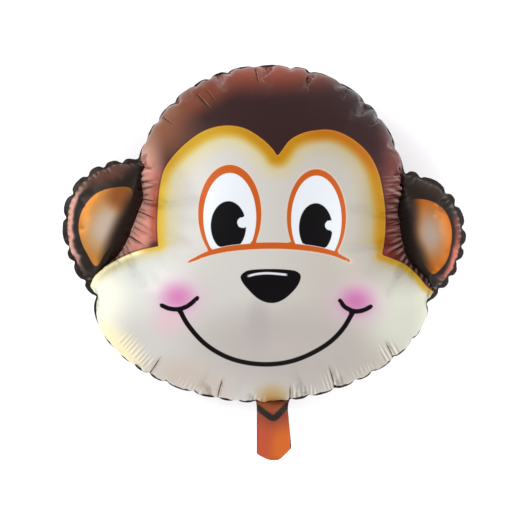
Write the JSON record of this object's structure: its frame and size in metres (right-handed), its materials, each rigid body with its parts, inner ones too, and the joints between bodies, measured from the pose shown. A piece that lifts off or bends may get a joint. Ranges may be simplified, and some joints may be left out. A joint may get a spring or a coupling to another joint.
{
  "type": "monkey foil balloon",
  "caption": "Blown-up foil balloon in the shape of a cartoon monkey's head, with puffed ears, a pleated welded rim and a flat filling neck, lying face up.",
  "frame": {"origin": "centre of the flat spot under the balloon's back, on the surface that it lies on", "axes": "+Y from the filling neck to the top of the head, +X to the right as one looks at the face, +Z out of the face"},
  "size_m": [0.5979, 0.5876, 0.2233],
  "materials": {
    "face_foil": "satin metallised film, printed with a monkey's face",
    "back_foil": "glossy metallised film, printed dark brown"
  },
  "bodies": {
    "root": {"front_panel": "face_foil", "back_panel": "back_foil"}
  },
  "joints": []
}
